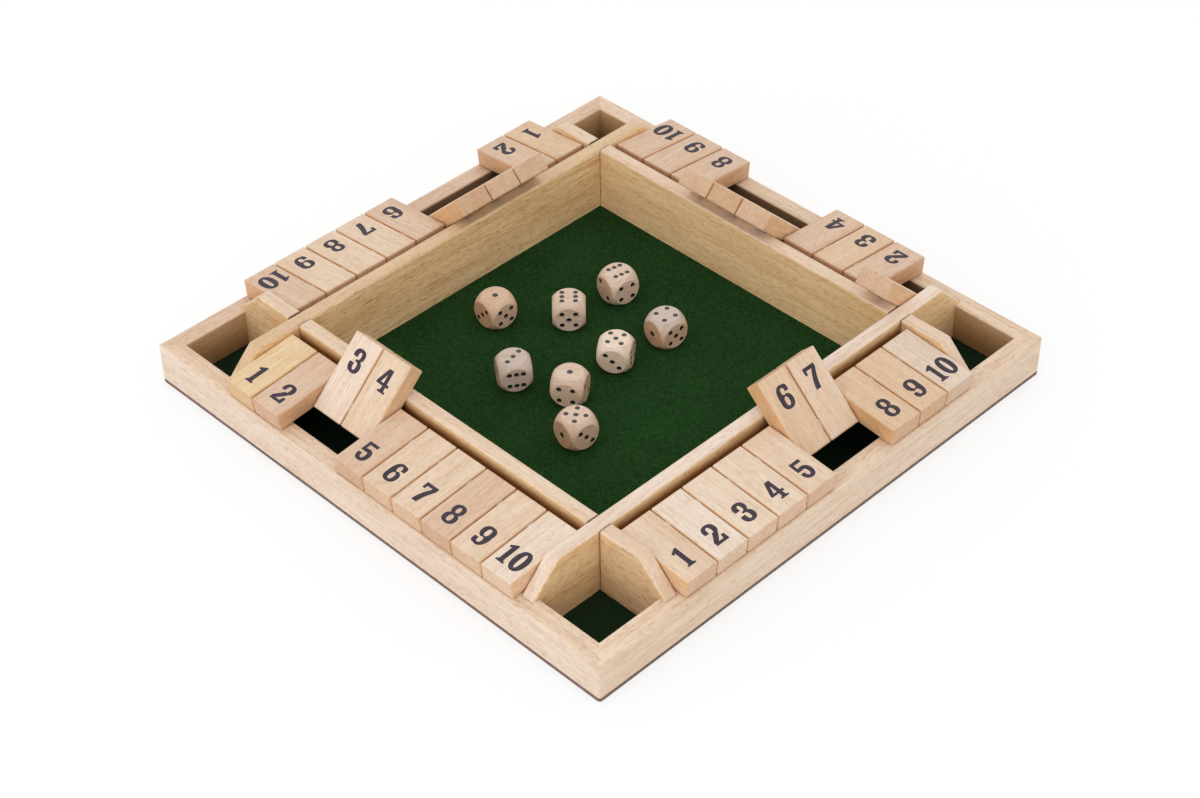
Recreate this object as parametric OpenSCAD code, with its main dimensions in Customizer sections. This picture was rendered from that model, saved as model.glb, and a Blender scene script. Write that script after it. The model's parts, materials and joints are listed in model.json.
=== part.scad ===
// Four-player shut the box game: a square wooden tray with ten hinged number
// tiles along each side, and eight dice in a felt-lined middle.
// Millimetres. +Z is up, the origin is the bottom centre of the base, the
// front side of the case faces -Y and the right side faces +X.

/* [Case] */

// Outside length of each side of the square case
case_side = 290; // [282:1:320]

// Clear width of the square well in the middle
well_side = 187.4; // [170:0.2:196]

// Thickness of the four outer rails
rail_t = 9.5; // [8:0.5:12]

// Height of the top of the rails above the table
rail_top = 21.6; // [18:0.2:24]

// Thickness of the inner walls and dividers
wall_t = 7.25; // [6.5:0.25:9]

// Height of the top of the inner walls above the table
wall_top = 36.65; // [34:0.05:40]

// Thickness of the base panel
base_t = 2; // [1.2:0.1:3]

// Thickness of the felt sheet on the base panel
felt_t = 0.5; // [0.3:0.1:1]

// Depth of the grooves that hold the wall ends in the rails
groove_depth = 3.8; // [2:0.1:5]

// Open joint behind each wall end in its groove
joint_gap = 0.25; // [0:0.05:0.5]

// Open joint between a divider and the long wall beside it
divider_gap = 0.45; // [0:0.05:0.8]

// Radius that softens the top edges of rails and walls
edge_r = 1; // [0.5:0.1:1.5]

// Radius of the upright corners of the case
corner_r = 1.5; // [0.5:0.5:4]

// Radius where the top of a wall turns down into its slanted end
slant_r = 8; // [1:0.5:10]

/* [Pivots] */

// Diameter of the four steel rods that the tiles turn on
rod_d = 3; // [2.5:0.1:4]

// Distance of a rod's axis from the inner wall beside it
rod_gap = 14.05; // [13:0.05:16]

// Height of the rod axes above the table
rod_z = 29.3; // [28:0.1:30]

// Depth of the blind holes that hold the ends of a rod
rod_seat = 4; // [3:0.5:5]

// Play all round a rod in its blind holes
seat_clear = 0.03; // [0.01:0.01:0.1]

// Play all round a rod in the bores of the tiles
bore_clear = 0.08; // [0.02:0.01:0.1]

// Diameter of the spacer washers between the tiles
washer_d = 10; // [8:0.1:11]

// Diameter of the holes of the washers, which hang loose on the rods
washer_hole = 5.2; // [3.5:0.1:6]

// Thickness of the spacer washers
washer_t = 0.5; // [0.3:0.1:0.8]

// Play on each side of a washer
side_clear = 0.06; // [0.05:0.01:0.2]

/* [Tiles] */

// Thickness of a number tile
tile_t = 9.4; // [9:0.1:10]

// Distance from the rod's axis to the inner end of a tile
tile_inset = 10.1; // [8:0.1:10.5]

// How far the outer end of a lying tile stays inside the case
tile_setback = 0.2; // [0.1:0.1:4]

// Radius that softens all the edges of a tile
tile_r = 1; // [0.4:0.05:1.5]

// Space left where a tile comes to rest against rail or wall
stop_gap = 0.15; // [0.1:0.05:0.5]

/* [Dice] */

// Width of a die across its flat faces
die_size = 16; // [14:0.5:18]

// Diameter of the ball that rounds a die, as a share of its width
die_round = 1.294; // [1.2:0.002:1.4]

// Diameter of a spot
pip_d = 2.5; // [1.5:0.1:2.8]

// Diameter of the single spot of a one
pip_one_d = 2.9; // [1.5:0.1:4]

// Depth of a spot
pip_depth = 0.5; // [0.2:0.1:0.7]

// Distance of the outer spots from the middle of a face, as a share of the width
pip_spread = 0.203; // [0.18:0.001:0.22]

/* [Hidden] */
$fn = 96;
eps = 0.01;

// Tiles on each side, numbered from left to right as seen from outside
tile_count = 10;

// Sides in the order front, right, back, left, with the way each one faces
sides = ["front", "right", "back", "left"];
facing = [-90, 0, 90, 180];

// Numbers whose tiles stand raised in the rest pose, side by side
raised = [[3, 4], [6, 7], [1, 5, 6, 7], [3, 4, 5]];

// Dice: centre, turn, numbers and quarter turns of their spots on the
// front, right, back, left, top and bottom faces
dice = [
    [[-63.0, -7.6], 84.5, [5, 4, 2, 3, 1, 6], [0, 0, 0, 1, 0, 0]],
    [[-37.0, 16.0], 45.5, [5, 3, 2, 4, 6, 1], [0, 0, 0, 0, 1, 0]],
    [[-34.3, 46.5], 78.0, [4, 5, 3, 2, 6, 1], [0, 0, 0, 0, 0, 0]],
    [[5.5, 38.5], 81.4, [5, 6, 2, 1, 4, 3], [0, 0, 0, 0, 0, 0]],
    [[-23.5, -33.2], 57.0, [6, 5, 1, 2, 3, 4], [0, 0, 0, 1, 1, 0]],
    [[1.2, 9.4], 32.0, [3, 6, 4, 1, 5, 2], [0, 1, 0, 0, 0, 0]],
    [[3.2, -22.6], 31.0, [4, 2, 3, 5, 1, 6], [0, 0, 0, 0, 0, 0]],
    [[26.5, -41.6], 81.7, [3, 6, 4, 1, 5, 2], [0, 0, 0, 0, 0, 0]],
];

half_case = case_side / 2;
half_well = well_side / 2;
rail_h = rail_top - base_t;
felt_top = base_t + felt_t;
rail_inner = half_case - rail_t;
wall_end = rail_inner + groove_depth;
wall_mid = half_well + wall_t / 2;
wall_outer = half_well + wall_t;
wall_h = wall_top - felt_top;

// The slant falls at 45 degrees and meets rail height at the wall's end
slant_start = wall_end - (wall_top - rail_top);

rod_out = wall_outer + rod_gap;
bore_d = rod_d + 2 * bore_clear;
washer_drop = (washer_hole - rod_d) / 2 - seat_clear;
pitch = well_side / tile_count;
tile_w = pitch - washer_t - 2 * side_clear;

// A lying tile rests on the outer top edge of its rail: the middle of that
// edge's curve, seen from the rod, and the tilt that brings the tile to it
contact = tile_t / 2 + edge_r + stop_gap;
lie_u = half_case - edge_r - rod_out;
lie_z = rail_top - edge_r - rod_z;
lie_tilt = atan2(lie_z, lie_u) + asin(contact / norm([lie_u, lie_z]));

// A raised tile leans on the outer top edge of the inner wall
up_u = wall_outer - edge_r - rod_out;
up_z = wall_top - edge_r - rod_z;
up_tilt = atan2(-up_u, up_z) + acos(contact / norm([up_u, up_z]));

// Rod to outer end, so that the lying tile's upper corner stays in the case
tile_reach = (half_case - tile_setback - rod_out - abs(sin(lie_tilt)) * tile_t / 2)
    / cos(lie_tilt);

// Ball that hollows a spot of width d in a flat face
function pip_ball(d) = (pow(d / 2, 2) + pow(pip_depth, 2)) / (2 * pip_depth);

// Spots of a number on a face, in steps of the spread
function spots(n) =
    n == 1 ? [[0, 0]] :
    n == 2 ? [[-1, 1], [1, -1]] :
    n == 3 ? [[-1, 1], [0, 0], [1, -1]] :
    n == 4 ? [[-1, 1], [1, -1], [-1, -1], [1, 1]] :
    n == 5 ? [[-1, 1], [1, -1], [-1, -1], [1, 1], [0, 0]] :
    [[-1, 1], [0, 1], [1, 1], [-1, -1], [0, -1], [1, -1]];

function is_up(side, n) = len(search(n, raised[side])) > 0;

// Flat shape w by l with its corners rounded to r, centred
module plate(w, l, r) {
    square([w - 2 * r, l], center = true);
    square([w, l - 2 * r], center = true);
    for (x = [-1, 1])
        for (y = [-1, 1])
            translate([x * (w / 2 - r), y * (l / 2 - r)])
                circle(r);
}

// Flat shape w by h standing on y = 0 with its two top corners rounded
module topped(w, h, r) {
    translate([-w / 2, 0])
        square([w, h - r]);
    translate([r - w / 2, 0])
        square([w - 2 * r, h]);
    for (x = [-1, 1])
        translate([x * (w / 2 - r), h - r])
            circle(r);
}

// Bar with a topped section, along x from x0 to x1
module topped_bar(w, h, r, x0, x1) {
    translate([x0, 0, 0])
        rotate([90, 0, 90])
            linear_extrude(x1 - x0)
                topped(w, h, r);
}

// Side view of a wall from x0 to wall_end, slanted at wall_end
module wall_side(x0) {
    reach = slant_r * tan(22.5);
    fall = reach * sin(45);
    polygon([
        [x0, 0],
        [wall_end, 0],
        [wall_end, rail_top - felt_top],
        [slant_start + fall, wall_h - fall],
        [slant_start - reach, wall_h],
        [x0, wall_h],
    ]);
    translate([slant_start - reach, wall_h - slant_r])
        circle(slant_r);
}

// Inner wall from x0 to its slanted end at wall_end, centred on y = 0
module slanted_wall(x0) {
    translate([0, 0, felt_top])
        intersection() {
            rotate([90, 0, 0])
                linear_extrude(wall_t, center = true)
                    wall_side(x0);
            topped_bar(wall_t, wall_h, edge_r, x0, wall_end);
            translate([slant_start, 0, wall_h])
                rotate([0, 45, 0])
                    translate([0, 0, -case_side])
                        topped_bar(wall_t, case_side, edge_r, -case_side, case_side);
        }
}

// Outer rail on the side that faces +X, mitred at both ends, with a groove
// for each wall end
module rail() {
    difference() {
        intersection() {
            translate([half_case - rail_t / 2, 0, base_t])
                rotate([0, 0, 90])
                    topped_bar(rail_t, rail_h, edge_r, -half_case, half_case);
            linear_extrude(rail_top + 1)
                polygon([[0, 0], [half_case + 1, -half_case - 1], [half_case + 1, half_case + 1]]);
            linear_extrude(rail_top + 1)
                plate(case_side, case_side, corner_r);
        }
        for (y = [-1, 1])
            translate([rail_inner - 1, y * wall_mid - wall_t / 2, 0])
                cube([groove_depth + joint_gap + 1, wall_t, rail_top + 1]);
    }
}

// Long wall along y on the +X side, with a blind hole for a rod end in the
// inner face at each end
module long_wall() {
    difference() {
        translate([wall_mid, 0, 0])
            for (turn = [-90, 90])
                rotate([0, 0, turn])
                    slanted_wall(-half_well);
        for (y = [-1, 1])
            translate([half_well - eps, y * rod_out, rod_z])
                rotate([0, 90, 0])
                    cylinder(d = rod_d + 2 * seat_clear, h = rod_seat + eps);
    }
}

// Steel rod along y on the +X side
module rod() {
    translate([rod_out, 0, rod_z])
        rotate([90, 0, 0])
            cylinder(d = rod_d, h = 2 * (half_well + rod_seat), center = true);
}

// Number tile n of the +X side, turned up by tilt from pointing straight out
module tile(n, tilt) {
    long = tile_reach + tile_inset;
    translate([rod_out, (n - 0.5) * pitch - half_well, rod_z])
        rotate([0, -tilt, 0])
            difference() {
                translate([(tile_reach - tile_inset) / 2, 0, 0])
                    intersection() {
                        linear_extrude(tile_t, center = true)
                            plate(long, tile_w, tile_r);
                        rotate([90, 0, 0])
                            linear_extrude(tile_w, center = true)
                                plate(long, tile_t, tile_r);
                        rotate([0, 90, 0])
                            linear_extrude(long, center = true)
                                plate(tile_t, tile_w, tile_r);
                    }
                rotate([90, 0, 0])
                    cylinder(d = bore_d, h = tile_w + 2, center = true);
            }
}

// Spots of number n sunk in the top of a cube that is centred on the origin
module face_spots(n, quarter) {
    d = n == 1 ? pip_one_d : pip_d;
    step = die_size * pip_spread;
    rotate([0, 0, 90 * quarter])
        for (p = spots(n))
            translate([p[0] * step, p[1] * step, die_size / 2 + pip_ball(d) - pip_depth])
                sphere(pip_ball(d));
}

// Die with rounded corners and sunk spots, standing on the felt
module die(place, turn, numbers, quarters) {
    translate([place[0], place[1], felt_top + die_size / 2])
        rotate([0, 0, turn])
            difference() {
                intersection() {
                    cube(die_size, center = true);
                    sphere(d = die_size * die_round);
                }
                for (k = [0:3])
                    rotate([90, 0, 90 * k])
                        face_spots(numbers[k], quarters[k]);
                face_spots(numbers[4], quarters[4]);
                rotate([180, 0, 0])
                    face_spots(numbers[5], quarters[5]);
            }
}

module base_panel() {
    color("SaddleBrown")
        linear_extrude(base_t)
            plate(case_side, case_side, corner_r);
}

module felt_lining() {
    color("DarkGreen")
        translate([-rail_inner, -rail_inner, base_t])
            cube([2 * rail_inner, 2 * rail_inner, felt_t]);
}

module side_rail(side) {
    color("BurlyWood")
        rotate([0, 0, facing[side]])
            rail();
}

module long_wall_right() {
    color("Wheat")
        long_wall();
}

module long_wall_left() {
    color("Wheat")
        rotate([0, 0, 180])
            long_wall();
}

// The two walls that run between the long walls
module short_walls() {
    color("Wheat")
        for (y = [-1, 1])
            translate([0, y * wall_mid, felt_top])
                topped_bar(wall_t, wall_h, edge_r, -half_well, half_well);
}

// The four dividers between the long walls and the left and right rails
module short_dividers() {
    color("Wheat")
        for (x = [-1, 1])
            for (y = [-1, 1])
                difference() {
                    translate([0, y * wall_mid, 0])
                        rotate([0, 0, 90 - 90 * x])
                            slanted_wall(wall_outer + divider_gap);
                    translate([x * rod_out, y * (half_well - eps), rod_z])
                        rotate([-90 * y, 0, 0])
                            cylinder(d = rod_d + 2 * seat_clear, h = rod_seat + eps);
                }
}

module pivot_rods() {
    color("Silver")
        for (turn = facing)
            rotate([0, 0, turn])
                rod();
}

// One washer between each two neighbouring tiles
module washers() {
    color("LightGray")
        for (turn = facing)
            rotate([0, 0, turn])
                for (n = [1:tile_count - 1])
                    translate([rod_out, n * pitch - half_well, rod_z - washer_drop])
                        rotate([90, 0, 0])
                            difference() {
                                cylinder(d = washer_d, h = washer_t, center = true);
                                cylinder(d = washer_hole, h = washer_t + 1, center = true);
                            }
}

module number_tile(side, n) {
    color("Moccasin")
        rotate([0, 0, facing[side]])
            tile(n, is_up(side, n) ? up_tilt : lie_tilt);
}

module numbered_die(n) {
    color("AntiqueWhite")
        die(dice[n - 1][0], dice[n - 1][1], dice[n - 1][2], dice[n - 1][3]);
}

base_panel();
felt_lining();
for (s = [0:3])
    side_rail(s);
long_wall_left();
long_wall_right();
short_walls();
short_dividers();
pivot_rods();
washers();
for (s = [0:3])
    for (n = [1:tile_count])
        number_tile(s, n);
for (n = [1:len(dice)])
    numbered_die(n);
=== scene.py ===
import json
import math
import bpy
import numpy as np
from mathutils import Matrix, Vector


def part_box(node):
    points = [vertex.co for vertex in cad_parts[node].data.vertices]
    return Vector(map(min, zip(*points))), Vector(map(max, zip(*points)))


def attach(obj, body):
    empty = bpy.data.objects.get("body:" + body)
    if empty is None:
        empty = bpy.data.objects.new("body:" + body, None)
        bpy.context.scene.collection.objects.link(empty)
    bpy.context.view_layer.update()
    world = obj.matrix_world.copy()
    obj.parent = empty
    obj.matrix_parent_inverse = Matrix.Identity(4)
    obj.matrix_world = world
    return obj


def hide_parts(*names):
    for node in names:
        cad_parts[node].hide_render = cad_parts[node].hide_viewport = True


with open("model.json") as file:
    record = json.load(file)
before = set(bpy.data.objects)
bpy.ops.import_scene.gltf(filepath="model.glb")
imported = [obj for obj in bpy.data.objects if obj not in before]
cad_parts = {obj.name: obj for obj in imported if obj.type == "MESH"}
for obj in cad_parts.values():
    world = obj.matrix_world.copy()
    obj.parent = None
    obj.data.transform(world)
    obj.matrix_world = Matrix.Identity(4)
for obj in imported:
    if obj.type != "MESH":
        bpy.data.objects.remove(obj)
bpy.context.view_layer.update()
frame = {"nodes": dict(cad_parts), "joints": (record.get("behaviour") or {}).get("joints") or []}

nodes = frame["nodes"]
hinges = {joint["child"]: joint for joint in frame["joints"]}
mm = 0.001
sideNames = ["front", "right", "back", "left"]
sideTurns = {"front": -90, "right": 0, "back": 90, "left": 180}  # degrees, the way each side faces
tilesPerSide = 10
print("frame loaded:", len(nodes), "nodes")


def linearColour(code):
    # sRGB hex to linear: each channel over 12.92 near black, otherwise ((c + 0.055) / 1.055) to the
    # power 2.4
    srgb = [int(code[i:i + 2], 16) / 255 for i in (1, 3, 5)]
    return [c / 12.92 if c <= 0.04045 else ((c + 0.055) / 1.055) ** 2.4 for c in srgb] + [1.0]


def addNode(tree, kind, inputs=None, stops=None, **settings):
    # One node with its settings, its inputs (a value, or another node's output) and its ramp's stops
    node = tree.nodes.new(kind)
    for name, value in settings.items():
        setattr(node, name, value)
    for socket, value in (inputs or {}).items():
        if isinstance(value, bpy.types.NodeSocket):
            tree.links.new(value, node.inputs[socket])
        else:
            node.inputs[socket].default_value = value
    if stops:
        ramp = node.color_ramp.elements
        while len(ramp) < len(stops):
            ramp.new(0.5)
        for element, (place, colour) in zip(ramp, stops):
            element.position = place
            element.color = colour
    return node


def newMaterial(name):
    material = bpy.data.materials.new(name)
    material.use_nodes = True
    material.node_tree.nodes.clear()
    return material, material.node_tree


def dress(piece, material):
    piece.data.materials.clear()
    piece.data.materials.append(material)


def ownMillimetres(tree, place=(0, 0, 0), turn=(0, 0, 0)):
    # Object coordinates in mm, measured from a place (m) and along axes turned by an angle about each
    where = addNode(tree, "ShaderNodeTexCoord")
    own = addNode(tree, "ShaderNodeMapping", {
        "Vector": where.outputs["Object"], "Location": place, "Rotation": turn, "Scale": (mm, mm, mm)},
        vector_type="TEXTURE")
    return where, own.outputs[0]


def seenByRay(tree):
    # 1 for rays from the camera, also by way of a mirror or glass, and 0 for rays that only light things
    path = addNode(tree, "ShaderNodeLightPath")
    seen = addNode(tree, "ShaderNodeMath", {0: path.outputs["Is Camera Ray"],
                                            1: path.outputs["Is Glossy Ray"]}, operation="MAXIMUM")
    seen = addNode(tree, "ShaderNodeMath", {0: seen.outputs[0], 1: path.outputs["Is Transmission Ray"]},
                   operation="MAXIMUM")
    return seen.outputs[0]


# The camera comes first: where the photograph was taken from, and its lens
view = {
    "lens": 73.118,  # mm
    "sensor": 36.0,  # mm wide
    "azimuth": 45.638,  # degrees round from the front towards the right
    "elevation": 40.658,
    "roll": -0.896,
    "target": (0.011268, -0.011425, 0.0),  # m
    "distance": 1.13109,  # m
    "nearest": 0.05,  # m, what lies nearer isn't seen
}


def aimCamera(view):
    # back points from the target to the camera, level lies flat, and the picture's axes are those two and
    # their cross product, rolled about back
    azimuth, elevation, roll = (math.radians(view[k]) for k in ("azimuth", "elevation", "roll"))
    back = Vector((math.cos(elevation) * math.sin(azimuth), -math.cos(elevation) * math.cos(azimuth),
                   math.sin(elevation)))
    level = Vector((math.cos(azimuth), math.sin(azimuth), 0))
    upright = back.cross(level)
    right = math.cos(roll) * level + math.sin(roll) * upright
    up = -math.sin(roll) * level + math.cos(roll) * upright
    lens = bpy.data.cameras.new("photo_camera")
    lens.lens = view["lens"]
    lens.sensor_width = view["sensor"]
    lens.clip_start = view["nearest"]
    camera = bpy.data.objects.new("photo_camera", lens)
    camera.matrix_world = Matrix((right, up, back)).transposed().to_4x4()
    camera.location = Vector(view["target"]) + back * view["distance"]
    bpy.context.scene.collection.objects.link(camera)
    bpy.context.scene.camera = camera


aimCamera(view)
print("camera placed")

# Studio: a light tent, white all round, with a large soft lamp low in front and a white table
studio = {
    "lampSize": 1.6,  # m
    "lampPlace": (0.2, -1.8, 0.7),  # m
    "lampPower": 7.0,  # W
    "worldLight": 0.93,  # strength of the surround on the object
    "tableColour": "#fafafa",  # what lights the case from below
    "tableSize": 6.0,  # m
    "tableDrop": 0.0002,  # m below the case, so that the two faces don't flicker
    "tableShade": 0.35,  # share of real shading in the table that the camera sees
    "tableWhite": 1.045,  # strength of the rest, so that the open table comes out white
}


def lightStudio(studio):
    scene = bpy.context.scene
    scene.view_settings.view_transform = "Standard"
    world = bpy.data.worlds.new("white_surround")
    scene.world = world
    world.use_nodes = True
    tree = world.node_tree
    tree.nodes.clear()
    strength = addNode(tree, "ShaderNodeMapRange", {
        "Value": seenByRay(tree), "To Min": studio["worldLight"], "To Max": 1.0})
    sky = addNode(tree, "ShaderNodeBackground", {"Color": (1, 1, 1, 1), "Strength": strength.outputs[0]})
    addNode(tree, "ShaderNodeOutputWorld", {"Surface": sky.outputs[0]})
    lamp = bpy.data.lights.new("soft_box", "AREA")
    lamp.shape = "SQUARE"
    lamp.size = studio["lampSize"]
    lamp.energy = studio["lampPower"]
    box = bpy.data.objects.new("soft_box", lamp)
    box.location = studio["lampPlace"]
    box.rotation_euler = Vector(box.location).to_track_quat("Z", "Y").to_euler()
    scene.collection.objects.link(box)


def layTable(studio):
    # The white table top: a flat square just under the case. The camera sees mostly plain white, with a
    # share of the real shading, so that the case's shadow stays
    half = studio["tableSize"] / 2
    mesh = bpy.data.meshes.new("table_top")
    corners = [(-half, -half, 0), (half, -half, 0), (half, half, 0), (-half, half, 0)]
    mesh.from_pydata(corners, [], [(0, 1, 2, 3)])
    table = bpy.data.objects.new("table_top", mesh)
    table.location = (0, 0, -studio["tableDrop"])
    bpy.context.scene.collection.objects.link(table)
    material, tree = newMaterial("white_table")
    share = addNode(tree, "ShaderNodeMapRange", {
        "Value": seenByRay(tree), "To Max": 1 - studio["tableShade"]})
    matt = addNode(tree, "ShaderNodeBsdfDiffuse", {"Color": linearColour(studio["tableColour"])})
    white = addNode(tree, "ShaderNodeEmission", {"Color": (1, 1, 1, 1), "Strength": studio["tableWhite"]})
    mixed = addNode(tree, "ShaderNodeMixShader", {
        0: share.outputs[0], 1: matt.outputs[0], 2: white.outputs[0]})
    addNode(tree, "ShaderNodeOutputMaterial", {"Surface": mixed.outputs[0]})
    dress(table, material)


lightStudio(studio)
layTable(studio)
print("studio lit")

# Sizes of the game in mm, as the solids have them
game = {
    "half": 145.0,  # of the case's side
    "railTop": 21.6,
    "wellHalf": 93.7,
    "edge": 1.0,  # rounding of the rail's upper edge
    "feltTop": 2.5,
    "feltThickness": 0.5,
}
tile = {
    "thickness": 9.4,
    "width": 18.12,
    "inset": 10.1,  # from the rod to the inner end
    "setback": 0.2,  # of the outer end from the case's face
    "stopGap": 0.15,  # between a tile and the rail that it lies on
    "rodOut": 115.0,  # from the case's middle
    "rodHeight": 29.3,
}
pitch = 2 * game["wellHalf"] / tilesPerSide

# Tilt of a lying tile: the angle of the line from the rod to the middle of the rail's rounding, plus the
# angle whose sine is the contact over that line's length. The contact is half the thickness, the rounding
# and the gap together. A raised tile has turned on by its hinge's whole range. The reach runs from the rod
# to the outer end, whose upper corner stays inside the case
contact = tile["thickness"] / 2 + game["edge"] + tile["stopGap"]
edgeOut = game["half"] - game["edge"] - tile["rodOut"]
edgeUp = game["railTop"] - game["edge"] - tile["rodHeight"]
lieTilt = math.degrees(math.atan2(edgeUp, edgeOut) + math.asin(contact / math.hypot(edgeOut, edgeUp)))
swing = hinges["front_tile_1"]["range_deg"][1]
sink = abs(math.sin(math.radians(lieTilt))) * tile["thickness"] / 2
reach = (game["half"] - tile["setback"] - tile["rodOut"] - sink) / math.cos(math.radians(lieTilt))


def isRaised(name):
    return hinges[name]["range_deg"][0] < 0


def tilePlace(side, n):
    # A tile's own frame: its rod's point in the middle of its width, its tilt and the way its side faces.
    # x runs from the rod to the outer end, y from left to right, z through the thickness
    turn = math.radians(sideTurns[side])
    tilt = math.radians(lieTilt + (swing if isRaised(f"{side}_tile_{n}") else 0))
    along = (n - 0.5) * pitch - game["wellHalf"]
    rod = Matrix.Rotation(turn, 4, "Z") @ Vector((tile["rodOut"], along, tile["rodHeight"]))
    return tuple(rod * mm), (0.0, -tilt, turn)


# Beech, planed and sanded smooth, with a thin satin lacquer. The eye gets a pale warm wood with soft
# streaks a few mm wide that turn from pinkish to tan, fine darker lines, and short pores. Three sizes of
# grain darken the wood by their tint where their noise passes from low to high, which covers a mean share
# of it. Widths and lengths are in mm: real lines are nearer 0.3 wide and real pores 0.1, which would not
# show
beech = {
    "tones": {"pale": "#e9d2bd", "ivory": "#e7ceb5", "blush": "#e0c9b4", "sand": "#e1c8ae",
              "cream": "#e3c7ab", "rosy": "#dab99d", "fawn": "#dcc1ab", "ash": "#cdb9aa",
              "tan": "#debd9b", "amber": "#d8b68f", "honey": "#e6c89d", "straw": "#efca98",
              "wheat": "#e2bc8f", "dun": "#ceab83"},
    "grains": {
        "streaks": {"width": 2.2, "length": 40.0, "detail": 2.0, "low": 0.36, "high": 0.64, "mean": 0.5,
                    "share": 0.6, "tint": "#ecdfce"},
        "lines": {"width": 0.45, "length": 9.0, "detail": 2.0, "low": 0.42, "high": 0.68, "mean": 0.35,
                  "share": 0.35, "tint": "#d2ae8c"},
        "pores": {"width": 0.4, "length": 1.6, "detail": 1.0, "low": 0.50, "high": 0.72, "mean": 0.18,
                  "share": 0.38, "tint": "#c59872"},
    },
    "grainRoughness": 0.6,
    "ringDepth": 2.0,  # how much wider the grain is through the growth rings than along them
    "ringTurn": 50.0,  # degrees, how far the rings lean in a piece at most
    "ringStep": 1.7,  # radians by which a sine that sets the lean moves on from seed to seed
    "seedStep": 3.7,  # how far apart the grains of two seeds are taken from the noise
    "topLimits": (0.35, 0.65),  # how steeply a face looks up where the top tone begins and is full
    "endTint": "#eddfd2",  # end grain drinks more lacquer and goes darker and pinker
    "sideShadeTint": "#f9e7cf",  # painted shade: a tile's sides are browner and darker, as in the narrow gaps between tiles
    "cutLimits": (0.6, 0.1),  # mm below a cut face where its tint begins and is full
    # Painted shade: faces that look to the middle (-1) or away from it (1) are painted darker and browner
    # low down,
    # where shade falls: behind the tiles, in the trays and at the foot of the rails. Top and foot are in
    # mm above the table
    "paintedShades": {"slot": {"facing": 1, "top": 34.5, "foot": 30.0, "tint": "#b08a66"},
               "tray": {"facing": -1, "top": 21.6, "foot": 20.6, "tint": "#c3b8bc"},
               "foot": {"facing": -1, "top": 20.0, "foot": 4.0, "tint": "#c6beae"}},
    "jointTint": "#4a3222",  # where a wall's end meets the long wall
    "jointShare": 0.8,
    "roughness": (0.34, 0.54),
    "relief": 0.02,  # mm
    "reliefStrength": 0.6,
    "index": 1.5,
}


def meanTone(tone, figure):
    # The tone divided, channel by channel, by what the three grains take away on average, so that the
    # grained wood comes out at the tone
    colour = np.array(linearColour(beech["tones"][tone]))
    for grain in beech["grains"].values():
        taken = 1 - np.array(linearColour(grain["tint"]))
        colour = colour / (1 - grain["mean"] * min(1, grain["share"] * figure) * taken)
    return colour.tolist()


def tonedWood(tree, normal, outward, tone, figure, topTone, topFigure, innerShadeTone):
    # Colour and contrast of the grain: the face's tone and figure, an inner tone where the surface looks
    # to the case's middle, which is painted shade, and a top tone with its own figure where it looks up
    colour, contrast = meanTone(tone, figure), figure
    if innerShadeTone:
        inward = addNode(tree, "ShaderNodeMath", {0: outward, 1: 0.0}, operation="LESS_THAN")
        colour = addNode(tree, "ShaderNodeMix", {
            "Factor": inward.outputs[0], "A": colour, "B": meanTone(innerShadeTone, figure)},
            data_type="RGBA").outputs["Result"]
    if topTone:
        begin, full = beech["topLimits"]
        facing = addNode(tree, "ShaderNodeSeparateXYZ", {"Vector": normal})
        upward = addNode(tree, "ShaderNodeMapRange", {
            "Value": facing.outputs["Z"], "From Min": begin, "From Max": full})
        colour = addNode(tree, "ShaderNodeMix", {
            "Factor": upward.outputs[0], "A": colour, "B": meanTone(topTone, topFigure)},
            data_type="RGBA").outputs["Result"]
        contrast = addNode(tree, "ShaderNodeMapRange", {
            "Value": upward.outputs[0], "To Min": figure, "To Max": topFigure}).outputs[0]
    return colour, contrast


def grainedWood(tree, own, colour, contrast, seed, slant):
    # Each grain is a noise stretched along x, turned about x by the lean of the rings and about z by the
    # slant. It multiplies the colour by its tint, up to its share times the contrast
    rings = math.radians(beech["ringTurn"]) * math.sin(beech["ringStep"] * seed)
    noises = {}
    for kind, grain in beech["grains"].items():
        across = 2 * grain["width"]
        stretched = addNode(tree, "ShaderNodeMapping", {
            "Vector": own, "Rotation": (rings, 0, math.radians(slant)),
            "Scale": (2 * grain["length"], across, across * beech["ringDepth"])}, vector_type="TEXTURE")
        noise = addNode(tree, "ShaderNodeTexNoise", {
            "Vector": stretched.outputs[0], "W": seed * beech["seedStep"], "Scale": 1.0,
            "Detail": grain["detail"], "Roughness": beech["grainRoughness"]}, noise_dimensions="4D")
        noises[kind] = noise.outputs[0]
        share = addNode(tree, "ShaderNodeMath", {0: contrast, 1: grain["share"]}, operation="MULTIPLY")
        mask = addNode(tree, "ShaderNodeMapRange", {
            "Value": noise.outputs[0], "From Min": grain["low"], "From Max": grain["high"],
            "To Max": share.outputs[0]})
        colour = addNode(tree, "ShaderNodeMix", {
            "Factor": mask.outputs[0], "A": colour, "B": linearColour(grain["tint"])},
            data_type="RGBA", blend_type="MULTIPLY").outputs["Result"]
    return colour, noises


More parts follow.
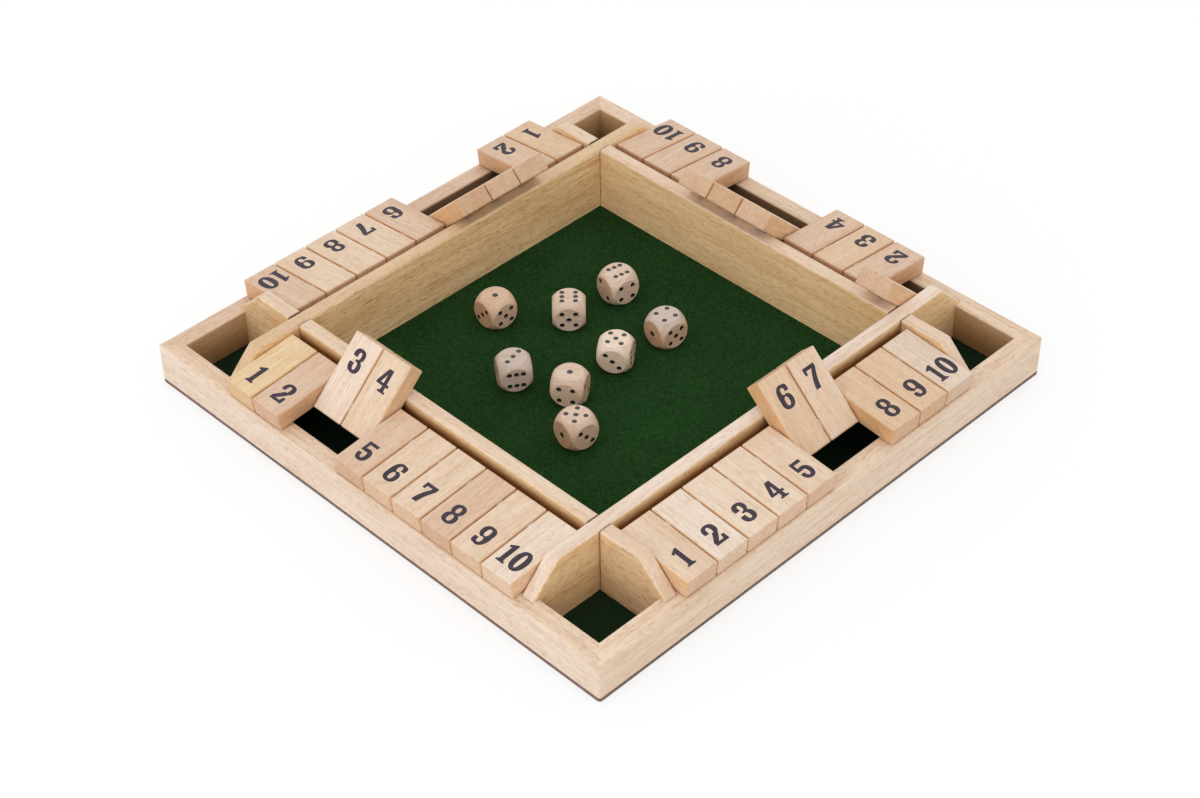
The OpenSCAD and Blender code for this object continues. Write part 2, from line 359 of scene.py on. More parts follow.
def paintedShadeWood(tree, split, outward, colour, paintedShades, joint):
    # A painted shade counts on faces that look its way and lie nearer the middle than its reach along x,
    # and grows from its top down to its foot. The joint darkens the wood from its first place along x to
    # its second
    fromMiddle = addNode(tree, "ShaderNodeMath", {0: split.outputs["X"]}, operation="ABSOLUTE")
    for kind, reachAlong in paintedShades:
        shade = beech["paintedShades"][kind]
        turned = addNode(tree, "ShaderNodeMath", {0: outward, 1: shade["facing"]}, operation="MULTIPLY")
        faced = addNode(tree, "ShaderNodeMath", {0: turned.outputs[0], 1: 0.0}, operation="GREATER_THAN")
        between = addNode(tree, "ShaderNodeMath", {0: fromMiddle.outputs[0], 1: reachAlong},
                          operation="LESS_THAN")
        low = addNode(tree, "ShaderNodeMapRange", {
            "Value": split.outputs["Z"], "From Min": shade["top"], "From Max": shade["foot"],
            "To Max": faced.outputs[0]})
        shaded = addNode(tree, "ShaderNodeMath", {0: low.outputs[0], 1: between.outputs[0]},
                         operation="MULTIPLY")
        colour = addNode(tree, "ShaderNodeMix", {
            "Factor": shaded.outputs[0], "A": colour, "B": linearColour(shade["tint"])},
            data_type="RGBA", blend_type="MULTIPLY").outputs["Result"]
    if joint:
        begin, full = joint
        dark = addNode(tree, "ShaderNodeMapRange", {
            "Value": fromMiddle.outputs[0], "From Min": begin, "From Max": full,
            "To Max": beech["jointShare"]})
        colour = addNode(tree, "ShaderNodeMix", {
            "Factor": dark.outputs[0], "A": colour, "B": linearColour(beech["jointTint"])},
            data_type="RGBA").outputs["Result"]
    return colour


def cutWood(tree, split, colour, ends, sides):
    # Tints the two ends, cut across x, with the end grain's tint, and paints shade on the two sides, cut
    # across y: how far a point lies from the middle of the two cuts, compared with half the distance
    # between them
    begin, full = beech["cutLimits"]
    for axis, cuts, tint in (("X", ends, "endTint"), ("Y", sides, "sideShadeTint")):
        if not cuts:
            continue
        half = (cuts[1] - cuts[0]) / 2
        offset = addNode(tree, "ShaderNodeMath", {0: split.outputs[axis], 1: sum(cuts) / 2},
                         operation="SUBTRACT")
        away = addNode(tree, "ShaderNodeMath", {0: offset.outputs[0]}, operation="ABSOLUTE")
        mask = addNode(tree, "ShaderNodeMapRange", {
            "Value": away.outputs[0], "From Min": half - begin, "From Max": half - full})
        colour = addNode(tree, "ShaderNodeMix", {
            "Factor": mask.outputs[0], "A": colour, "B": linearColour(beech[tint])},
            data_type="RGBA", blend_type="MULTIPLY").outputs["Result"]
    return colour


def beechMaterial(name, tone, place, turn, seed, slant=0.0, figure=1.0, ends=None, sides=None,
                  topTone=None, topFigure=1.0, innerShadeTone=None, paintedShades=(), joint=None):
    # One piece of beech, read in its own millimetres with x along the grain. The figure is the grain's
    # contrast. Ends and sides give the two places along x and y where the piece was cut; the sides get
    # painted shade.
    # Painted shades give a kind and how far from the middle it reaches, and joint the places between which
    # the wood turns dark
    material, tree = newMaterial(name)
    where, own = ownMillimetres(tree, place, turn)
    split = addNode(tree, "ShaderNodeSeparateXYZ", {"Vector": own})
    outward = addNode(tree, "ShaderNodeVectorMath", {
        0: where.outputs["Object"], 1: where.outputs["Normal"]}, operation="DOT_PRODUCT").outputs["Value"]
    colour, contrast = tonedWood(tree, where.outputs["Normal"], outward, tone, figure, topTone, topFigure,
                                 innerShadeTone)
    colour, noises = grainedWood(tree, own, colour, contrast, seed, slant)
    colour = paintedShadeWood(tree, split, outward, colour, paintedShades, joint)
    colour = cutWood(tree, split, colour, ends, sides)
    smooth, rough = beech["roughness"]
    gloss = addNode(tree, "ShaderNodeMapRange", {
        "Value": noises["lines"], "To Min": smooth, "To Max": rough})
    height = addNode(tree, "ShaderNodeMath", {0: noises["lines"], 1: noises["pores"]},
                     operation="SUBTRACT")
    bump = addNode(tree, "ShaderNodeBump", {
        "Height": height.outputs[0], "Distance": beech["relief"] * mm,
        "Strength": beech["reliefStrength"]})
    shader = addNode(tree, "ShaderNodeBsdfPrincipled", {
        "Base Color": colour, "Roughness": gloss.outputs[0], "Normal": bump.outputs[0],
        "IOR": beech["index"]})
    addNode(tree, "ShaderNodeOutputMaterial", {"Surface": shader.outputs[0]})
    return material


# Case: rails and inner walls of beech, each with its grain along its length
case = {
    "railTones": {"front": "blush", "right": "sand", "back": "cream", "left": "cream"},
    "railTopTones": {"front": "cream", "right": "cream", "back": "cream", "left": "rosy"},
    # Painted shade: the rails' faces that look to the middle get this darker tone
    "railInnerShadeTone": "dun",
    "railFigure": 0.76,
    "railTopFigure": 0.95,
    "railSlants": {"front": 2.0, "right": 1.0, "back": 0.0, "left": -1.0},  # degrees
    "railSeed": 11,
    # Tones of a wall's faces and top, turn of its grain in degrees, and figure of its faces. The faces'
    # deeper yellow is partly painted light, for the warm light that the walls bounce onto each other, and
    # the left wall's darker amber top is partly painted shade from the raised tiles that lean over it
    "walls": {"long_wall_left": ("straw", "amber", 90, 1.3), "long_wall_right": ("straw", "pale", 90, 1.1),
              "short_walls": ("straw", "cream", 0, 1.0), "short_dividers": ("wheat", "cream", 0, 1.1)},
    "wallTopFigure": 0.7,
    "wallSlant": 1.5,  # degrees
    "wallSeed": 21,
    "joints": {"short_walls": (93.1, 93.5), "short_dividers": (101.9, 101.5)},  # mm from the middle
}


def finishCase(look):
    for k, side in enumerate(sideNames):
        turn = math.radians(sideTurns[side] + 90)
        dress(nodes[f"{side}_rail"], beechMaterial(
            f"beech_{side}_rail", look["railTones"][side], (0, 0, 0), (0, 0, turn), look["railSeed"] + k,
            look["railSlants"][side], look["railFigure"], topTone=look["railTopTones"][side],
            topFigure=look["railTopFigure"], innerShadeTone=look["railInnerShadeTone"],
            paintedShades=[("tray", game["wellHalf"]), ("foot", game["half"])]))
    for k, (wall, (face, top, turn, figure)) in enumerate(look["walls"].items()):
        dress(nodes[wall], beechMaterial(
            f"beech_{wall}", face, (0, 0, 0), (0, 0, math.radians(turn)), look["wallSeed"] + k,
            look["wallSlant"], figure, topTone=top, topFigure=look["wallTopFigure"],
            paintedShades=[] if wall == "short_dividers" else [("slot", game["wellHalf"])],
            joint=look["joints"].get(wall)))


finishCase(case)
print("case finished")

# Number tiles: each cut from another part of the board, so their tones differ
tileWood = {
    "front": ["honey", "rosy", "pale", "cream", "rosy", "cream", "cream", "rosy", "cream", "pale"],
    "right": ["cream", "pale", "ivory", "ivory", "cream", "tan", "cream", "tan", "tan", "blush"],
    "back": ["cream", "rosy", "tan", "rosy", "cream", "tan", "cream", "rosy", "rosy", "rosy"],
    "left": ["tan", "rosy", "cream", "cream", "tan", "rosy", "cream", "cream", "cream", "rosy"],
    "figure": 0.68,
    "slant": 4.0,  # degrees, how far the grain strays from the tile's length at most
    "slantStep": 2.4,  # radians by which a sine that sets the slant moves on from tile to tile
    "seed": 40,
}


def finishTiles(look):
    for k, side in enumerate(sideNames):
        for n in range(1, tilesPerSide + 1):
            place, turn = tilePlace(side, n)
            seed = look["seed"] + tilesPerSide * k + n
            slant = look["slant"] * math.sin(look["slantStep"] * seed)
            dress(nodes[f"{side}_tile_{n}"], beechMaterial(
                f"beech_{side}_{n}", look[side][n - 1], place, turn, seed, slant, look["figure"],
                ends=(-tile["inset"], reach), sides=(-tile["width"] / 2, tile["width"] / 2)))


finishTiles(tileWood)
print("tiles finished")

# Numbers: bold slab-serif figures, described as distances in mm. x runs right from the middle of the
# figure and y up from its foot line. A distance is negative inside the ink
numbers = {
    "height": 11.4,
    "fromEnd": 11.65,  # mm, from the tile's outer end to the middle of the figure
    "across": (-8.0, 8.0),  # mm, the grid that the figures are cut from
    "upward": (-1.0, 13.0),
    "cell": 0.25,
    "proud": 0.03,  # mm of ink above the wood
    "sunk": 0.05,
}


def oval(x, y, middleX, middleY, halfX, halfY, power=2.25):
    # A slightly squared ellipse: the sum of both offsets over the half axes, each to the power, compared
    # with 1
    r = (np.abs((x - middleX) / halfX) ** power + np.abs((y - middleY) / halfY) ** power) ** (1 / power)
    return (r - 1) * min(halfX, halfY)


def bar(x, y, left, low, right, high):
    # An upright rectangle: the larger of how far a point lies outside it across and up
    return np.maximum(np.abs(x - (left + right) / 2) - (right - left) / 2,
                      np.abs(y - (low + high) / 2) - (high - low) / 2)


def rightOf(x, y, ax, ay, bx, by):
    # Distance to the right of the line that climbs from a to b: a cross product over the line's length
    dx, dy = bx - ax, by - ay
    return ((x - ax) * dy - (y - ay) * dx) / math.hypot(dx, dy)


def both(*distances):
    # Where all the shapes overlap: the largest distance
    return np.maximum.reduce(distances)


def either(*distances):
    # The shapes together: the smallest distance
    return np.minimum.reduce(distances)


def slabFoot(x, y, stem, half):
    # A flat slab as wide as half on each side, with brackets that curve up into the stem by a power of the
    # height
    flare = stem + (half - 0.45 - stem) * np.clip(1.25 - y / 1.75, 0, 1) ** 1.6
    return either(bar(x, y, -half, 0, half, 0.95), both(np.abs(x) - flare, -y, y - 2.4))


def one(x, y):
    # A stem on a slab foot, and a flag between two slanting lines at its top left
    top = -rightOf(x, y, -2.9, 9.5, 0.4, 11.45)
    flag = both(top, rightOf(x, y, -2.35, 8.45, 1.0, 9.9), -rightOf(x, y, -2.3, 8.4, -2.9, 9.6), x)
    return either(flag, both(bar(x, y, -1.25, 0, 1.25, 11.35), top), slabFoot(x, y, 1.25, 2.4))


def two(x, y):
    # A ring open at the lower left, a slope whose two sides bend by a power of height, a slab and its spur
    left = -3.95 + 4.6 * np.clip((y - 2.0) / 6, 0, 2) ** 0.85
    right = -1.43 + 4.5 * np.clip((y - 1.5) / 5.2, 0, 2) ** 0.8
    bowl = both(oval(x, y, 0.05, 8.4, 3.62, 3.3), -oval(x, y, -0.15, 8.1, 1.15, 2.1),
                -both(x - left, y - 7.2), 6.2 - y)
    slope = both((left - x) * 0.75, (x - right) * 0.72, -3.67 - x, y - 6.6, 0.4 - y)
    spur = both(1.55 + 0.16 * (y - 1.5) - x, x - 3.6, y - 3.65, -y)
    return either(bowl, slope, bar(x, y, -3.67, 0, 3.55, 1.57), spur)


def three(x, y):
    # Two ovals, one on the other, less their two holes and the gap on the left
    body = either(oval(x, y, -0.1, 8.65, 3.5, 3.05), oval(x, y, 0, 3.25, 3.7, 3.3))
    holes = either(oval(x, y, 0.1, 8.3, 0.95, 1.75), oval(x, y, 0.05, 3.4, 1.05, 1.85))
    gap = either(bar(x, y, -5, 4.5, -0.95, 7.4), bar(x, y, -5, 6.45, 0.1, 7.4),
                 bar(x, y, -5, 4.5, 0.1, 5.35))
    return both(body, -holes, -gap)


def four(x, y):
    # A wedge with a hole of three sides, a stem on a slab foot, and a crossbar with a spur
    wedge = both(-rightOf(x, y, -3.95, 4.1, -0.45, 11.3), -3.8 - x, x - 2.3, 3.2 - y, y - 11.3)
    hole = both(-rightOf(x, y, -1.6, 4.45, 0.25, 8.5), x - 0.3, 4.45 - y)
    return either(both(wedge, -hole), bar(x, y, 0.3, 0, 2.35, 11.3), bar(x, y, -3.85, 3.15, 3.65, 4.45),
                  bar(x, y, 3.0, 3.05, 3.75, 4.6), slabFoot(x - 1.25, y, 0.97, 2.3))


def five(x, y):
    # A ring open at the left, a bar along the top and a short stem between the two
    bowl = both(oval(x, y, 0.07, 3.85, 3.45, 3.8), -oval(x, y, 0, 3.75, 1.1, 1.9),
                -bar(x, y, -5, 4.15, 0, 5.5))
    return either(bowl, bar(x, y, -3.5, 9.65, 2.6, 11.35), bar(x, y, -3.5, 5.5, -1.85, 11))


def six(x, y):
    # A tall oval with an opening on the right, an ear above it, and a ring at the foot
    opening = either(oval(x, y, 0.2, 8.15, 1.15, 1.7), bar(x, y, 0.1, 4.2, 5, 7.65))
    back = both(oval(x, y, 0, 5.6, 3.7, 5.75), -opening)
    ear = both(oval(x, y, 1.8, 8.9, 1.75, 2.2), 7.65 - y)
    return both(either(back, ear, oval(x, y, 0, 3.4, 3.72, 3.55)), -oval(x, y, 0.03, 3.53, 1.23, 2.15),
                -oval(x, y, 0.2, 8.15, 1.15, 1.7))


def seven(x, y):
    # A bar with a spur at its left, and a leg whose two sides bend by a power of height
    left = -2.15 + 0.075 * np.clip(y, 0, 12) ** 1.7
    right = 0.8 + 0.065 * np.clip(y, 0, 12) ** 1.7
    leg = both((left - x) * 0.9, (x - right) * 0.9, x - 3.6, -y, y - 10.2)
    return either(leg, bar(x, y, -3.63, 9.45, 3.6, 11.2), bar(x, y, -3.63, 7.7, -2.1, 11))


def eight(x, y):
    # Two ovals, one on the other, less their two holes
    body = either(oval(x, y, 0, 8.6, 3.35, 3.1), oval(x, y, 0, 3.2, 3.7, 3.25))
    return both(body, -oval(x, y, 0, 8.4, 1.13, 1.68), -oval(x, y, 0, 3.3, 1.28, 1.93))


def nine(x, y):
    # A six turned half round
    return six(-x, numbers["height"] - y)


def ten(x, y):
    # A one, a little smaller and moved left, and a nought: one oval less another
    nought = both(oval(x, y, 3.1, 5.7, 3.8, 5.9), -oval(x, y, 3.1, 5.7, 1.02, 4.1))
    return either(one((x + 4.0) / 0.98, y) * 0.98, nought)


def inkSheet(shape, look):
    # A flat grid over the figure. Points near the outline slide onto it along the slope of the distance,
    # and the triangles whose middle lies in the ink are kept: points, triangles and the outline's edges
    cell = look["cell"]
    nudge = 0.04 * cell  # step over which the slope is measured
    nearby = 0.62 * cell  # points as near as this to the outline slide
    flattest = 0.15  # least square of the slope, so that no point slides too far
    crossing = 9.0  # mm added to a diagonal that would cross the outline
    sliver = 1e-4 * cell ** 2  # least double area of a triangle
    x, y = np.meshgrid(np.arange(*look["across"], cell), np.arange(*look["upward"], cell))

    def slope(x, y):
        across = (shape(x + nudge, y) - shape(x - nudge, y)) / (2 * nudge)
        up = (shape(x, y + nudge) - shape(x, y - nudge)) / (2 * nudge)
        return across, up, np.maximum(across ** 2 + up ** 2, flattest)

    across, up, steep = slope(x, y)
    near = np.abs(shape(x, y)) / np.sqrt(steep) < nearby
    sign = np.where(near, 0, np.sign(shape(x, y)))
    for _ in range(4):
        across, up, steep = slope(x, y)
        stray = np.where(near, shape(x, y) / steep, 0)
        x, y = x - stray * across, y - stray * up
    index = np.arange(x.size).reshape(x.shape)
    a, b = index[:-1, :-1].ravel(), index[:-1, 1:].ravel()
    c, d = index[1:, 1:].ravel(), index[1:, :-1].ravel()
    x, y, sign = x.ravel(), y.ravel(), sign.ravel()
    first = np.hypot(x[a] - x[c], y[a] - y[c]) + crossing * (sign[a] * sign[c] < 0)
    second = np.hypot(x[b] - x[d], y[b] - y[d]) + crossing * (sign[b] * sign[d] < 0)
    split = (first <= second)[:, None]
    triangles = np.concatenate([np.where(split, np.stack([a, b, c], 1), np.stack([a, b, d], 1)),
                                np.where(split, np.stack([a, c, d], 1), np.stack([b, c, d], 1))])
    px, py = x[triangles], y[triangles]
    area = (px[:, 1] - px[:, 0]) * (py[:, 2] - py[:, 0]) - (px[:, 2] - px[:, 0]) * (py[:, 1] - py[:, 0])
    triangles = triangles[(shape(px.mean(1), py.mean(1)) < 0) & (area > sliver)]
    used, triangles = np.unique(triangles, return_inverse=True)
    triangles = triangles.reshape(-1, 3)
    edges = np.concatenate([triangles[:, [0, 1]], triangles[:, [1, 2]], triangles[:, [2, 0]]])
    key = np.sort(edges, 1)
    _, inverse, count = np.unique(key[:, 0] * x.size + key[:, 1], return_inverse=True, return_counts=True)
    return np.stack([x[used], y[used]], 1), triangles, edges[count[inverse.ravel()] == 1]


def meshPiece(name, points, faces, body, smooth=False):
    mesh = bpy.data.meshes.new(name)
    mesh.from_pydata(points, [], faces)
    if smooth:
        mesh.polygons.foreach_set("use_smooth", [True] * len(mesh.polygons))
    mesh.update()
    piece = bpy.data.objects.new(name, mesh)
    bpy.context.scene.collection.objects.link(piece)
    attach(piece, body)
    return piece


# Pad-printed ink, dried matt. The eye gets a near-black slate blue that lets a little of the grain through
ink = {
    "deep": "#241623",
    "thin": "#3d3042",
    "limits": (0.35, 0.7),  # of the noise, where the ink is deepest and thinnest
    "mottle": 0.7,  # mm
    "roughness": 0.55,
}


def inkMaterial(look):
    material, tree = newMaterial("printed_ink")
    _, own = ownMillimetres(tree)
    blotch = addNode(tree, "ShaderNodeTexNoise", {
        "Vector": own, "Scale": 1 / (2 * look["mottle"]), "Detail": 3.0})
    stops = zip(look["limits"], (linearColour(look["deep"]), linearColour(look["thin"])))
    tint = addNode(tree, "ShaderNodeValToRGB", {"Fac": blotch.outputs[0]}, stops=list(stops))
    shader = addNode(tree, "ShaderNodeBsdfPrincipled", {
        "Base Color": tint.outputs[0], "Roughness": look["roughness"]})
    addNode(tree, "ShaderNodeOutputMaterial", {"Surface": shader.outputs[0]})
    return material


def printNumbers(look):
    # The flat figure gets a bottom and a wall along its outline, then stands on both faces of every tile:
    # on the first its head points to the rod, on the second to the outer end
    material = inkMaterial(ink)
    middle = reach - look["fromEnd"]
    faces = {1: Matrix(((0, -1, 0, middle), (1, 0, 0, 0), (0, 0, 1, 0), (0, 0, 0, 1))),
             -1: Matrix(((0, 1, 0, middle), (1, 0, 0, 0), (0, 0, -1, 0), (0, 0, 0, 1)))}
    for n, shape in enumerate([one, two, three, four, five, six, seven, eight, nine, ten], 1):
        flat, triangles, rim = inkSheet(shape, look)
        flat[:, 1] -= look["height"] / 2
        count = len(flat)
        low = np.full((count, 1), tile["thickness"] / 2 - look["sunk"])
        high = np.full((count, 1), tile["thickness"] / 2 + look["proud"])
        solid = np.concatenate([np.hstack([flat, high]), np.hstack([flat, low])])
        wall = np.stack([rim[:, 0] + count, rim[:, 1] + count, rim[:, 1], rim[:, 0]], 1)
        wall = np.concatenate([wall[:, [0, 1, 2]], wall[:, [0, 2, 3]]])
        closed = np.concatenate([triangles, triangles[:, ::-1] + count, wall])
        for side in sideNames:
            place, turn = tilePlace(side, n)
            stand = Matrix.Translation(Vector(place) / mm) @ Matrix.Rotation(turn[2], 4, "Z") \
                @ Matrix.Rotation(turn[1], 4, "Y")
            points = []
            for face in (1, -1):
                whole = np.array(stand @ faces[face])
                points.append(solid @ whole[:3, :3].T + whole[:3, 3])
            points = np.concatenate(points) * mm
            pair = np.concatenate([closed, closed + 2 * count])
            piece = meshPiece(f"{side}_number_{n}", points.tolist(), pair.tolist(), f"{side}_tile_{n}")
            dress(piece, material)


printNumbers(numbers)
print("numbers printed")

# Felt: pressed wool, glued flat on the base. The eye gets a deep matt green with a soft fibrous mottle
felt = {
    "side": 271.0,  # mm, between the rails
    "wave": 0.12,  # mm, how far the sheet dips between the walls
    "waveLength": 38.0,  # mm
    "points": 160,  # along each side of the grid
    "colour": "#2a4b26",
    "dark": "#132c11",
    "limits": (0.38, 0.62),  # of the noise, where the felt is darkest and lightest
    "outer": "#1c291e",  # painted shade: outside the well it is darker and browner, for the shade and wood-coloured bounce light there
    "outerShare": 0.8,
    "outerFrom": 97.0,  # mm from the middle
    "fibre": 0.7,  # mm, real fibres are far finer and would not show
    "nap": 16.7,  # mm, width of a patch where the nap lies one way
    "napShare": 0.15,  # how much that counts beside the fibres
    "roughness": 0.95,
    "relief": 0.15,  # mm
    "reliefStrength": 0.7,
    "sheen": 0.02,
}


def feltMaterial(look):
    # Colour = a ramp over the weighted mean of two noises, the fibres' tangle and the slower nap. Where
    # the larger of the two offsets from the middle passes a limit, the outer tint, painted shade, takes
    # over by its share
    material, tree = newMaterial("wool_felt")
    _, own = ownMillimetres(tree)
    tangle = addNode(tree, "ShaderNodeTexNoise", {
        "Vector": own, "Scale": 1 / (2 * look["fibre"]), "Detail": 5.0, "Roughness": 0.7,
        "Distortion": 1.5})
    nap = addNode(tree, "ShaderNodeTexNoise", {
        "Vector": own, "Scale": 1 / (2 * look["nap"]), "Detail": 2.0})
    total = addNode(tree, "ShaderNodeMath", {
        0: nap.outputs[0], 1: look["napShare"], 2: tangle.outputs[0]}, operation="MULTIPLY_ADD")
    mottle = addNode(tree, "ShaderNodeMath", {0: total.outputs[0], 1: 1 + look["napShare"]},
                     operation="DIVIDE")
    stops = zip(look["limits"], (linearColour(look["dark"]), linearColour(look["colour"])))
    tint = addNode(tree, "ShaderNodeValToRGB", {"Fac": mottle.outputs[0]}, stops=list(stops))
    away = addNode(tree, "ShaderNodeVectorMath", {0: own}, operation="ABSOLUTE")
    split = addNode(tree, "ShaderNodeSeparateXYZ", {"Vector": away.outputs[0]})
    larger = addNode(tree, "ShaderNodeMath", {0: split.outputs["X"], 1: split.outputs["Y"]},
                     operation="MAXIMUM")
    outside = addNode(tree, "ShaderNodeMath", {0: larger.outputs[0], 1: look["outerFrom"]},
                      operation="GREATER_THAN")
    share = addNode(tree, "ShaderNodeMath", {0: outside.outputs[0], 1: look["outerShare"]},
                    operation="MULTIPLY")
    colour = addNode(tree, "ShaderNodeMix", {
        "Factor": share.outputs[0], "A": tint.outputs[0], "B": linearColour(look["outer"])},
        data_type="RGBA")
    bump = addNode(tree, "ShaderNodeBump", {
        "Height": tangle.outputs[0], "Distance": look["relief"] * mm, "Strength": look["reliefStrength"]})
    shader = addNode(tree, "ShaderNodeBsdfPrincipled", {
        "Base Color": colour.outputs["Result"], "Roughness": look["roughness"], "Normal": bump.outputs[0],
        "Sheen Weight": look["sheen"], "Sheen Roughness": 0.5, "Specular IOR Level": 0.0})
    addNode(tree, "ShaderNodeOutputMaterial", {"Surface": shader.outputs[0]})
    return material


def layFelt(look):
    # A square grid of two parameters, both across the case. The dip is the mean of two slow sines, one
    # along each, set to run from 0 to its full depth. The top lies that much below its rest height, the
    # bottom stays flat, and a wall joins them along the rim
    count = look["points"]
    line = np.linspace(-look["side"] / 2, look["side"] / 2, count)
    x, y = np.meshgrid(line, line)
    wave = 2 * math.pi / look["waveLength"]
    dip = look["wave"] * (0.5 + 0.25 * np.sin(wave * x + 0.6 * np.sin(wave * y / 2))
                          + 0.25 * np.sin(0.8 * wave * y + 1.3))
    top = game["feltTop"] - dip
    bottom = np.full_like(top, game["feltTop"] - game["feltThickness"])
    points = np.concatenate([np.stack([x, y, top], -1).reshape(-1, 3),
                             np.stack([x, y, bottom], -1).reshape(-1, 3)]) * mm
    index = np.arange(count * count).reshape(count, count)
    quads = np.stack([index[:-1, :-1], index[:-1, 1:], index[1:, 1:], index[1:, :-1]], -1).reshape(-1, 4)
    rim = np.concatenate([index[0, :], index[1:, -1], index[-1, -2::-1], index[-2:0:-1, 0]])
    after = np.roll(rim, -1)
    under = count * count
    wall = np.stack([rim + under, after + under, after, rim], 1)
    faces = np.concatenate([quads, quads[:, ::-1] + under, wall])
    piece = meshPiece("felt", points.tolist(), faces.tolist(), "case", smooth=True)
    dress(piece, feltMaterial(look))
    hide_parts("felt_lining")


layFelt(felt)
print("felt laid")

# Dice: turned beech cubes with rounded corners. Their spots are drilled and painted black
dice = {
    "turns": [84.5, 45.5, 78.0, 81.4, 57.0, 32.0, 31.0, 81.7],  # degrees
    "tones": ["rosy", "fawn", "fawn", "rosy", "ash", "pale", "fawn", "fawn"],
    "topTones": {4: "ash"},  # this one's top face is greyer and paler than its sides
    "figure": 0.6,
    "seed": 90,
    "size": 16.0,  # mm
    "round": 1.294,  # width of the ball that rounds the corners, over the size
    "spot": "#15131c",
    "spotGloss": 0.15,  # roughness of the enamel, which mirrors the white tent where a spot looks up
    "spotIndex": 1.8,
    "spotDepth": 0.02,  # mm below the wood where the paint begins
}


def paintSpots(material, look, place, turn):
    # The paint lies where the surface is sunk: a point that is nearer the middle than both the cube's flat
    # faces (the largest of its three offsets) and the ball that rounds the corners (its distance)
    tree = material.node_tree
    shader = next(node for node in tree.nodes if node.type == "BSDF_PRINCIPLED")
    _, own = ownMillimetres(tree, place, turn)
    offset = addNode(tree, "ShaderNodeVectorMath", {0: own}, operation="ABSOLUTE")
    split = addNode(tree, "ShaderNodeSeparateXYZ", {"Vector": offset.outputs[0]})
    larger = addNode(tree, "ShaderNodeMath", {0: split.outputs["X"], 1: split.outputs["Y"]},
                     operation="MAXIMUM")
    largest = addNode(tree, "ShaderNodeMath", {0: larger.outputs[0], 1: split.outputs["Z"]},
                      operation="MAXIMUM")
    fromFace = addNode(tree, "ShaderNodeMath", {0: look["size"] / 2, 1: largest.outputs[0]},
                       operation="SUBTRACT")
    away = addNode(tree, "ShaderNodeVectorMath", {0: own}, operation="LENGTH")
    fromBall = addNode(tree, "ShaderNodeMath", {
        0: look["size"] * look["round"] / 2, 1: away.outputs["Value"]}, operation="SUBTRACT")
    sunk = addNode(tree, "ShaderNodeMath", {0: fromFace.outputs[0], 1: fromBall.outputs[0]},
                   operation="MINIMUM")
    mask = addNode(tree, "ShaderNodeMapRange", {
        "Value": sunk.outputs[0], "From Min": look["spotDepth"], "From Max": 2 * look["spotDepth"]})
    wood = shader.inputs["Base Color"].links[0].from_socket
    painted = addNode(tree, "ShaderNodeMix", {
        "Factor": mask.outputs[0], "A": wood, "B": linearColour(look["spot"])}, data_type="RGBA")
    tree.links.new(painted.outputs["Result"], shader.inputs["Base Color"])
    satin = shader.inputs["Roughness"].links[0].from_socket
    gloss = addNode(tree, "ShaderNodeMapRange", {
        "Value": mask.outputs[0], "To Min": satin, "To Max": look["spotGloss"]})
    tree.links.new(gloss.outputs[0], shader.inputs["Roughness"])
    index = addNode(tree, "ShaderNodeMapRange", {
        "Value": mask.outputs[0], "To Min": beech["index"], "To Max": look["spotIndex"]})
    tree.links.new(index.outputs[0], shader.inputs["IOR"])


def finishDice(look):
    half = look["size"] / 2
    for n, (turn, tone) in enumerate(zip(look["turns"], look["tones"]), 1):
        low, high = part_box(f"die_{n}")
        place, turned = tuple((low + high) / 2), (0, 0, math.radians(turn))
        material = beechMaterial(f"beech_die_{n}", tone, place, turned, look["seed"] + n,
                                 figure=look["figure"], ends=(-half, half),
                                 topTone=look["topTones"].get(n), topFigure=look["figure"])
        paintSpots(material, look, place, turned)
        dress(nodes[f"die_{n}"], material)


finishDice(dice)
print("dice finished")

# Base: thin hardboard, stained dark brown, its edge left as sawn. The eye gets a dull brown with fine
# chips
baseBoard = {
    "colour": "#84695d",
    "dark": "#68524a",
    "limits": (0.35, 0.65),  # of the noise, where the chips are darkest and lightest
    "chip": 0.6,  # mm
    "roughness": 0.75,
    "relief": 0.05,  # mm
    "reliefStrength": 0.5,
}

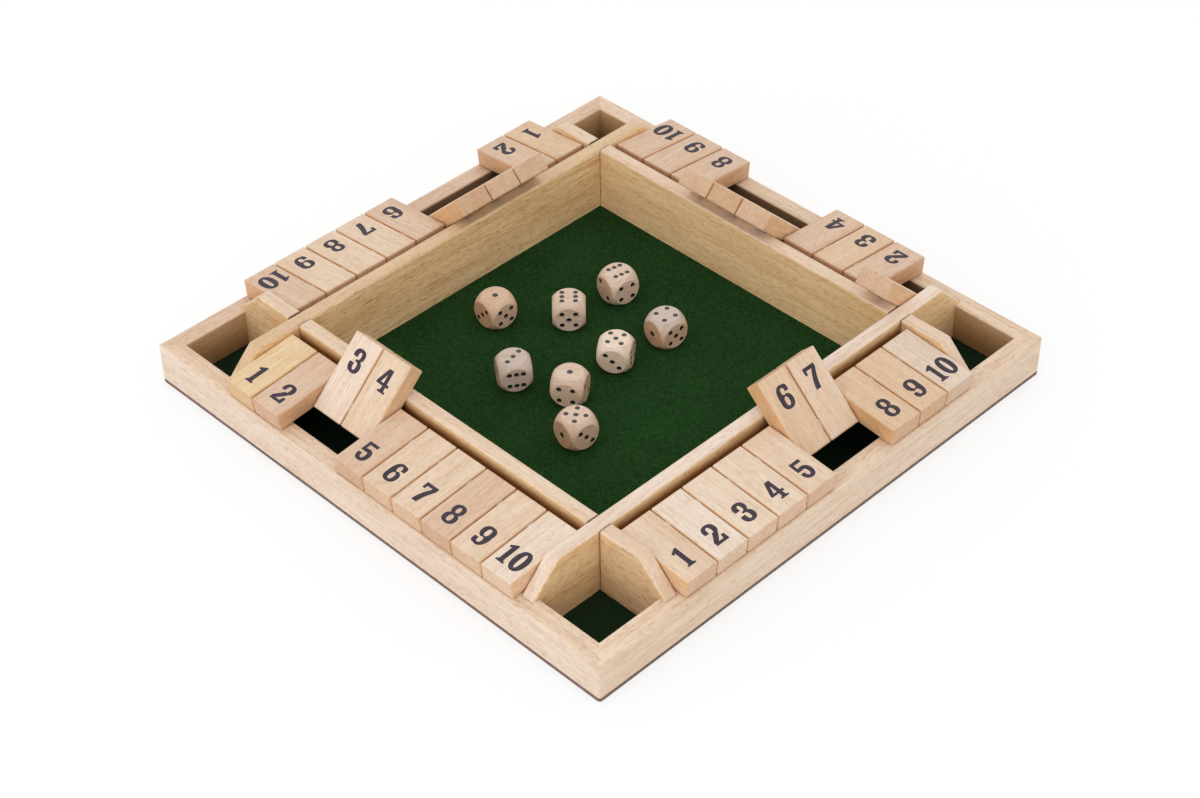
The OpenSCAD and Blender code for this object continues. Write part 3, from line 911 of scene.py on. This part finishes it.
# Rods and washers: zinc-plated steel, bright but not polished. The eye gets a pale grey metal with duller
# spots
steel = {
    "colour": "#e0dcd5",
    "dull": "#bdb8b0",
    "limits": (0.3, 0.7),  # of the noise, where the plating is dullest and brightest
    "spot": 0.4,  # mm
    "roughness": (0.22, 0.47),
}


def finishBase(look):
    material, tree = newMaterial("stained_hardboard")
    _, own = ownMillimetres(tree)
    chips = addNode(tree, "ShaderNodeTexNoise", {
        "Vector": own, "Scale": 1 / (2 * look["chip"]), "Detail": 4.0})
    stops = zip(look["limits"], (linearColour(look["dark"]), linearColour(look["colour"])))
    tint = addNode(tree, "ShaderNodeValToRGB", {"Fac": chips.outputs[0]}, stops=list(stops))
    bump = addNode(tree, "ShaderNodeBump", {
        "Height": chips.outputs[0], "Distance": look["relief"] * mm, "Strength": look["reliefStrength"]})
    shader = addNode(tree, "ShaderNodeBsdfPrincipled", {
        "Base Color": tint.outputs[0], "Roughness": look["roughness"], "Normal": bump.outputs[0]})
    addNode(tree, "ShaderNodeOutputMaterial", {"Surface": shader.outputs[0]})
    dress(nodes["base_panel"], material)


def finishSteel(look):
    material, tree = newMaterial("zinc_plated_steel")
    _, own = ownMillimetres(tree)
    marks = addNode(tree, "ShaderNodeTexNoise", {
        "Vector": own, "Scale": 1 / (2 * look["spot"]), "Detail": 3.0})
    stops = zip(look["limits"], (linearColour(look["dull"]), linearColour(look["colour"])))
    tint = addNode(tree, "ShaderNodeValToRGB", {"Fac": marks.outputs[0]}, stops=list(stops))
    smooth, rough = look["roughness"]
    gloss = addNode(tree, "ShaderNodeMapRange", {
        "Value": marks.outputs[0], "To Min": smooth, "To Max": rough})
    shader = addNode(tree, "ShaderNodeBsdfPrincipled", {
        "Base Color": tint.outputs[0], "Roughness": gloss.outputs[0], "Metallic": 1.0})
    addNode(tree, "ShaderNodeOutputMaterial", {"Surface": shader.outputs[0]})
    dress(nodes["pivot_rods"], material)
    dress(nodes["washers"], material)


finishBase(baseBoard)
finishSteel(steel)
print("base and steel finished")
